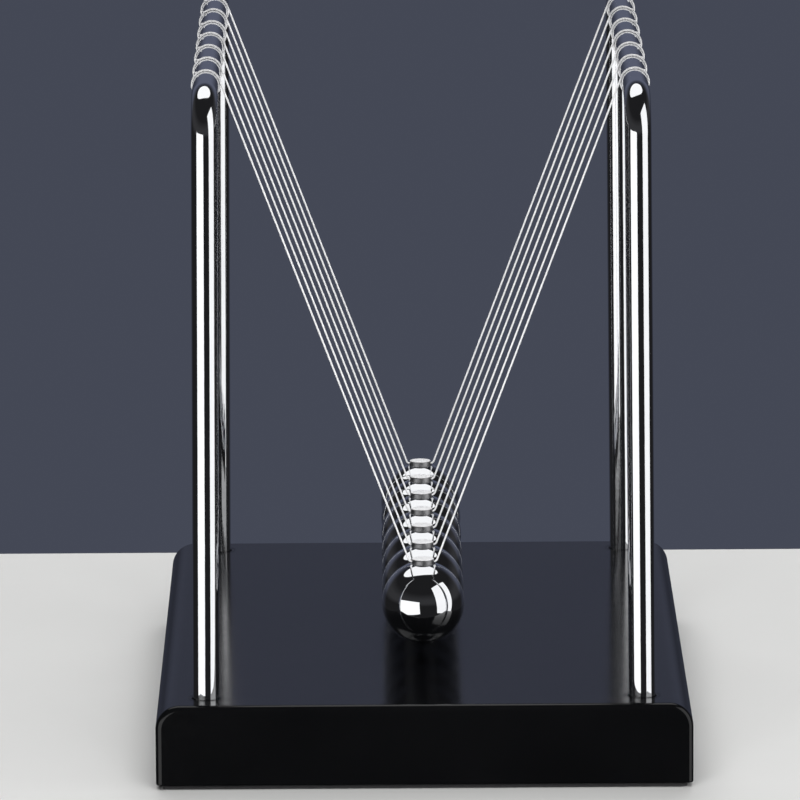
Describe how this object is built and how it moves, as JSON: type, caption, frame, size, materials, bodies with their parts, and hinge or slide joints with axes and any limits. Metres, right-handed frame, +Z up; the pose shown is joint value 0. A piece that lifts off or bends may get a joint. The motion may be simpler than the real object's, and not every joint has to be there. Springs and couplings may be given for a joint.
{
  "type": "newton's cradle",
  "caption": "Newton's cradle: a row of chromed steel balls hung on V-shaped nylon strings from two U-shaped chromed rods on a black lacquered wooden base.",
  "frame": {"origin": "on the table, under the middle of the base", "axes": "+Z up, X across the row of balls, +Y along the row from ball 1 at the front to ball 7 at the rear"},
  "size_m": [0.141, 0.211, 0.1855],
  "materials": {
    "black_lacquer": "black high-gloss lacquer",
    "black_felt": "short black felt",
    "frame_chrome": "bright chrome plate",
    "ball_chrome": "polished and plated",
    "lug_steel": "polished",
    "fixing_steel": "zinc plated",
    "clear_nylon": "clear monofilament"
  },
  "bodies": {
    "root": {"base": "black_lacquer", "base_pad": "black_felt", "left_frame_rod": "frame_chrome", "right_frame_rod": "frame_chrome", "frame_screw_1": "fixing_steel", "frame_screw_2": "fixing_steel", "frame_screw_3": "fixing_steel", "frame_screw_4": "fixing_steel", "frame_washer_1": "fixing_steel", "frame_washer_2": "fixing_steel", "frame_washer_3": "fixing_steel", "frame_washer_4": "fixing_steel", "left_string_wrap_1": "clear_nylon", "left_string_wrap_2": "clear_nylon", "left_string_wrap_3": "clear_nylon", "left_string_wrap_4": "clear_nylon", "left_string_wrap_5": "clear_nylon", "left_string_wrap_6": "clear_nylon", "left_string_wrap_7": "clear_nylon", "right_string_wrap_1": "clear_nylon", "right_string_wrap_2": "clear_nylon", "right_string_wrap_3": "clear_nylon", "right_string_wrap_4": "clear_nylon", "right_string_wrap_5": "clear_nylon", "right_string_wrap_6": "clear_nylon", "right_string_wrap_7": "clear_nylon"},
    "pendulum_1": {"ball_1": "ball_chrome", "ball_lug_1": "lug_steel", "string_1": "clear_nylon"},
    "pendulum_2": {"ball_2": "ball_chrome", "ball_lug_2": "lug_steel", "string_2": "clear_nylon"},
    "pendulum_3": {"ball_3": "ball_chrome", "ball_lug_3": "lug_steel", "string_3": "clear_nylon"},
    "pendulum_4": {"ball_4": "ball_chrome", "ball_lug_4": "lug_steel", "string_4": "clear_nylon"},
    "pendulum_5": {"ball_5": "ball_chrome", "ball_lug_5": "lug_steel", "string_5": "clear_nylon"},
    "pendulum_6": {"ball_6": "ball_chrome", "ball_lug_6": "lug_steel", "string_6": "clear_nylon"},
    "pendulum_7": {"ball_7": "ball_chrome", "ball_lug_7": "lug_steel", "string_7": "clear_nylon"}
  },
  "joints": [
    {"name": "ball_1_swing", "type": "hinge", "parent": "root", "child": "pendulum_1", "pos_m": [0, -0.0669, 0.18273], "axis": [1, 0, 0], "range_deg": [-80, 0]},
    {"name": "ball_2_swing", "type": "hinge", "parent": "root", "child": "pendulum_2", "pos_m": [0, -0.0446, 0.18273], "axis": [1, 0, 0], "range_deg": [-0.1, 0.1]},
    {"name": "ball_3_swing", "type": "hinge", "parent": "root", "child": "pendulum_3", "pos_m": [0, -0.0223, 0.18273], "axis": [1, 0, 0], "range_deg": [-0.1, 0.1]},
    {"name": "ball_4_swing", "type": "hinge", "parent": "root", "child": "pendulum_4", "pos_m": [0, 0, 0.18273], "axis": [1, 0, 0], "range_deg": [-0.1, 0.1]},
    {"name": "ball_5_swing", "type": "hinge", "parent": "root", "child": "pendulum_5", "pos_m": [0, 0.0223, 0.18273], "axis": [1, 0, 0], "range_deg": [-0.1, 0.1]},
    {"name": "ball_6_swing", "type": "hinge", "parent": "root", "child": "pendulum_6", "pos_m": [0, 0.0446, 0.18273], "axis": [1, 0, 0], "range_deg": [-0.1, 0.1]},
    {"name": "ball_7_swing", "type": "hinge", "parent": "root", "child": "pendulum_7", "pos_m": [0, 0.0669, 0.18273], "axis": [1, 0, 0], "range_deg": [0, 80]}
  ]
}
